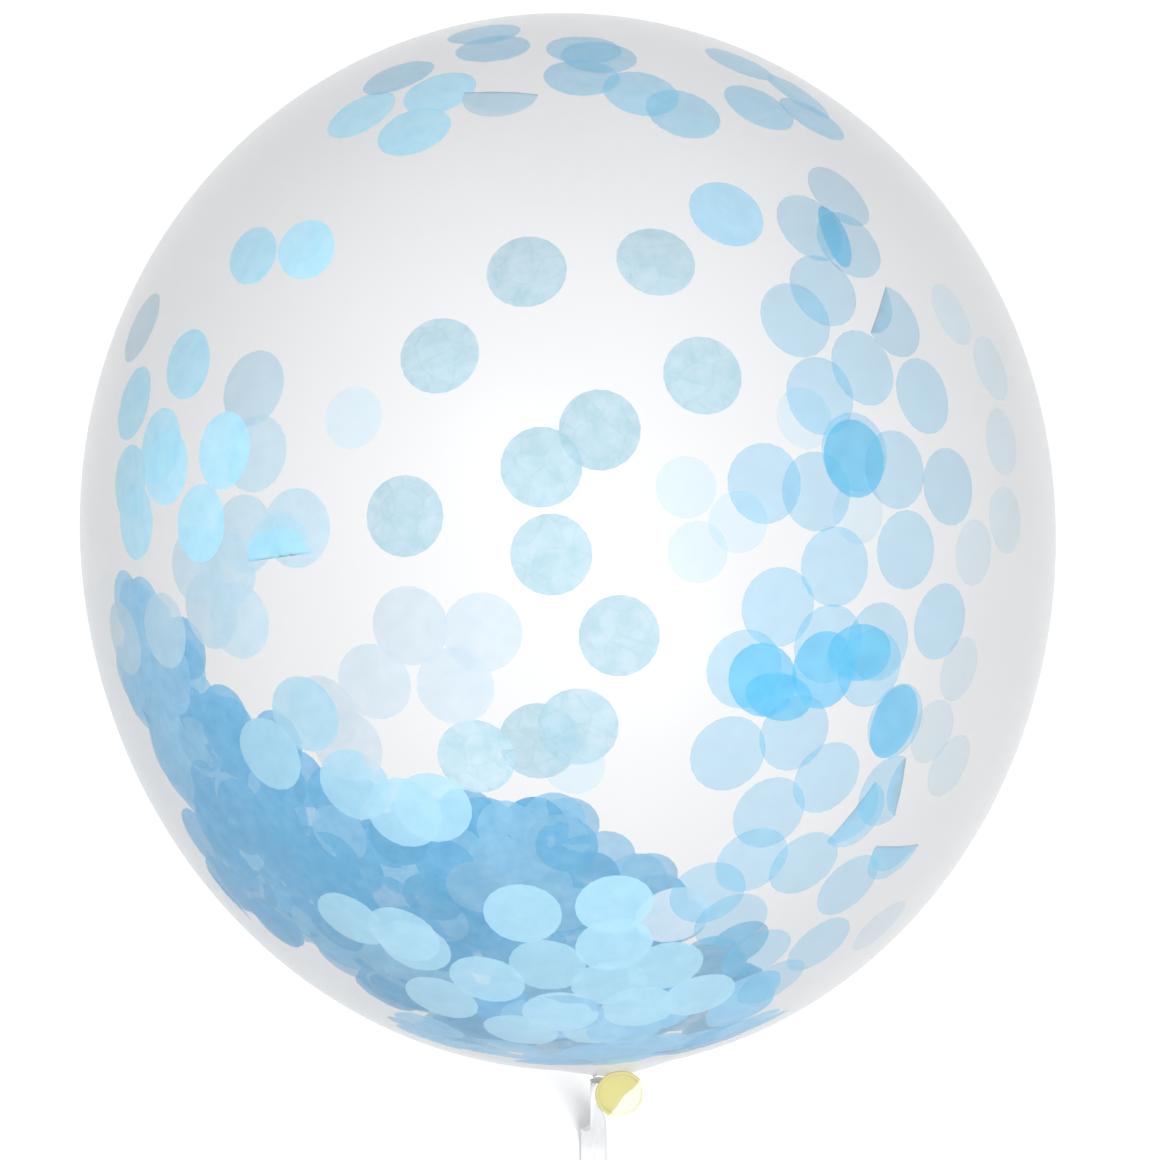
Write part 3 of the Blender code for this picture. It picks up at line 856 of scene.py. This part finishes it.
near_confetti = new_piece(
    "confetti_near", bm, sheer_blue, lit_blue, pale_blue, doubled_blue, shaded_blue, crown_shaded_blue
)

bm = bmesh.new()
tone_and_light_layer = bm.verts.layers.float.new("tone_and_light")
for index, (px, py) in enumerate(FAR_DISCS):
    add_disc(bm, tone_and_light_layer, seen_at(px, py, False), index % 4, 0)
far_confetti = new_piece("confetti_far", bm, faint_blue)

# The drift lies on the floor side of the wall, as ovals of (across, down, half width, half height,
# discs, share of soft ones), and climbs the wall along the outline from the left to past the neck.
DRIFT_OVALS = (
    (133, 650, 26, 62, 12, 0.9), (168, 705, 46, 62, 20, 0.6), (215, 785, 66, 76, 28, 0.2),
    (290, 860, 100, 80, 36, 0.0), (400, 885, 100, 88, 32, 0.3), (520, 875, 74, 74, 26, 0.5),
    (598, 925, 64, 74, 20, 0.8), (690, 975, 60, 50, 12, 1.0), (480, 1000, 140, 45, 20, 0.5),
    (538, 832, 34, 14, 7, 0.5),
)
# The discs along the outline are (from angle, to angle, from share, to share, discs, share of soft
# ones, one in how many is on the upper wall).
DRIFT_RIM = (
    (70, 118, 0.90, 0.97, 40, 0.6, 3), (72, 114, 0.975, 1.0, 40, 0.8, 2),
    (112, 169, 0.86, 0.935, 60, 1.0, 99),
)
# A few more lie where chance has left the skin bare.
DRIFT_FILLERS = (
    (400, 872), (308, 812), (690, 1022), (376, 862), (424, 876), (478, 958), (540, 1035), (250, 812),
    (604, 860), (636, 884), (656, 1026),
)
# The balloon's outline in the photograph, in its pixels.
BODY_MIDDLE = (568, 530)
BODY_HALF_WIDTH = 488
BODY_HALF_LENGTH = 542
# The drift's papers, in the order of its materials.
DEEP_SHADED, LIT_BRIGHT, WHITISH, SOFT = range(4)
bm = bmesh.new()
tone_and_light_layer = bm.verts.layers.float.new("tone_and_light")
for px, py, half_width, half_height, count, soft_share in DRIFT_OVALS:
    for number in range(count):
        angle = chance.uniform(0, math.tau)
        reach = math.sqrt(chance.random())
        spot = (px + half_width * reach * math.cos(angle), py + half_height * reach * math.sin(angle))
        soft = chance.random() < soft_share
        add_disc(bm, tone_and_light_layer, seen_at(*spot, False), 1 + number % 12, SOFT if soft else DEEP_SHADED)
for from_angle, to_angle, from_share, to_share, count, soft_share, near_every in DRIFT_RIM:
    for number in range(count):
        angle = math.radians(chance.uniform(from_angle, to_angle))
        reach = chance.uniform(from_share, to_share)
        side = BODY_HALF_WIDTH * reach * math.cos(angle)
        down = BODY_HALF_LENGTH * reach * math.sin(angle)
        px = BODY_MIDDLE[0] + side * math.cos(CAMERA_TURN) + down * math.sin(CAMERA_TURN)
        py = BODY_MIDDLE[1] - side * math.sin(CAMERA_TURN) + down * math.cos(CAMERA_TURN)
        soft = chance.random() < soft_share
        near = number % near_every == near_every - 1
        add_disc(bm, tone_and_light_layer, seen_at(px, py, near), 1 + number % 8, SOFT if soft else DEEP_SHADED)
for index, (px, py) in enumerate(LIGHT_OVER_DRIFT):
    add_disc(bm, tone_and_light_layer, seen_at(px, py, True), 7 + index % 4, WHITISH)
for index, (px, py) in enumerate(BRIGHT_OVER_DRIFT):
    add_disc(bm, tone_and_light_layer, seen_at(px, py, True), 7 + index % 4, LIT_BRIGHT)
for index, (px, py) in enumerate(LOWER_BRIGHT):
    add_disc(bm, tone_and_light_layer, seen_at(px, py, True), index % 4, LIT_BRIGHT)
for px, py in DRIFT_FILLERS:
    add_disc(bm, tone_and_light_layer, seen_at(px, py, False), 1, SOFT)
drift = new_piece("confetti_drift", bm, deep_shaded_blue, lit_bright_blue, white_blue, soft_blue)
# Tissue this thin hardly dims the light, so it neither casts a shadow nor tints what is round it.
for confetti in (near_confetti, far_confetti, drift):
    confetti.visible_shadow = False
    confetti.visible_diffuse = False


# Studio. A plain pale floor that comes out white, one large soft box overhead and even light from
# all round, as for a product photograph.
FLOOR_SIDE = 14.0
FLOOR_GAP = 0.0005
floor_paint, floor_shader, add, join = node_tools("pale floor")
place = add("ShaderNodeTexCoord")
cloud = add("ShaderNodeTexNoise", Scale=1.5, Detail=2.0)
join(place.outputs["Object"], cloud.inputs["Vector"])
floor_colour = add("ShaderNodeValToRGB")
floor_colour.color_ramp.elements[0].color = (0.84, 0.84, 0.84, 1.0)
floor_colour.color_ramp.elements[1].color = (0.86, 0.86, 0.86, 1.0)
join(cloud.outputs["Fac"], floor_colour.inputs["Fac"])
join(floor_colour.outputs["Color"], floor_shader.inputs["Base Color"])
floor_shader.inputs["Roughness"].default_value = 0.9
floor_shader.inputs["Specular IOR Level"].default_value = 0.0
bm = bmesh.new()
bmesh.ops.create_grid(
    bm, x_segments=1, y_segments=1, size=FLOOR_SIDE / 2, matrix=Matrix.Translation((0, 0, -FLOOR_GAP))
)
floor_mesh = bpy.data.meshes.new("floor")
bm.to_mesh(floor_mesh)
bm.free()
floor_mesh.materials.append(floor_paint)
floor = bpy.data.objects.new("floor", floor_mesh)
bpy.context.scene.collection.objects.link(floor)

soft_box = bpy.data.lights.new("soft box", "AREA")
soft_box.shape = "DISK"
soft_box.size = 3.4
soft_box.energy = 243.0
soft_box_object = bpy.data.objects.new("soft box", soft_box)
soft_box_object.location = (1.3, -1.9, 5.7)
soft_box_object.rotation_euler = (BODY_CENTRE - soft_box_object.location).to_track_quat("-Z", "Y").to_euler()
bpy.context.scene.collection.objects.link(soft_box_object)

world = bpy.data.worlds.new("studio")
world.use_nodes = True
world.node_tree.nodes["Background"].inputs["Color"].default_value = (0.96, 0.98, 1.0, 1.0)
world.node_tree.nodes["Background"].inputs["Strength"].default_value = 0.80
bpy.context.scene.world = world
bpy.context.scene.view_settings.view_transform = "Standard"
